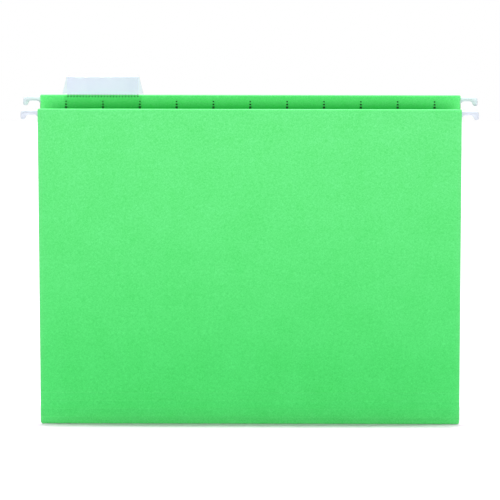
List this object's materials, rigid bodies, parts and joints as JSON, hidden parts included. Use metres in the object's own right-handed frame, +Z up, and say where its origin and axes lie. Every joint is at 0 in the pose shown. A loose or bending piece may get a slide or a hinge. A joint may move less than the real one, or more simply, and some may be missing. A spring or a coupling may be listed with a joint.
{
  "type": "hanging file folder",
  "caption": "Hanging file folder: scored card covers on hooked steel rods with coated ends, slotted top flaps, and a clear index tab holding a blank label.",
  "frame": {"origin": "middle of the four hook seats, level with the tops of the rails", "axes": "+X along the rods to the right as seen from the front, +Y towards the rear cover, +Z up"},
  "size_m": [0.3224, 0.0515, 0.2474],
  "materials": {
    "card": "matt coloured card",
    "rod_steel": "rolled steel strip",
    "hook_coat": "smooth coat",
    "glue": "dry adhesive",
    "clear_plastic": "clear film",
    "label_paper": "plain white paper"
  },
  "bodies": {
    "fold": {"bottom_fold": "card"},
    "rear_cover": {"rear_panel": "card", "rear_flap_glue": "glue", "rear_hanger_rod": "rod_steel", "rear_left_hook_tip": "hook_coat", "rear_right_hook_tip": "hook_coat", "tab_tongue": "clear_plastic"},
    "front_cover": {"front_panel": "card", "front_flap_glue": "glue", "front_hanger_rod": "rod_steel", "front_left_hook_tip": "hook_coat", "front_right_hook_tip": "hook_coat"},
    "tab": {"tab_window": "clear_plastic"},
    "label": {"label_insert": "label_paper"}
  },
  "joints": [
    {"name": "front_open", "type": "hinge", "parent": "fold", "child": "front_cover", "pos_m": [0, 0, -0.22943], "axis": [1, 0, 0], "range_deg": [-5.61, 83.89]},
    {"name": "rear_open", "type": "hinge", "parent": "fold", "child": "rear_cover", "pos_m": [0, 0, -0.22943], "axis": [1, 0, 0], "range_deg": [-83.89, 5.61]},
    {"name": "tab_flex", "type": "hinge", "parent": "rear_cover", "child": "tab", "pos_m": [0, 0.02392, 0.00385], "axis": [1, 0, 0], "range_deg": [-35, 0], "stiffness_Nm_per_rad": 0.004},
    {"name": "label_slide", "type": "slide", "parent": "tab", "child": "label", "axis": [-1, 0, 0], "range_m": [0, 0.052]}
  ],
  "couplings": [
    {"joint": "rear_open", "follows": "front_open", "ratio": -1}
  ]
}
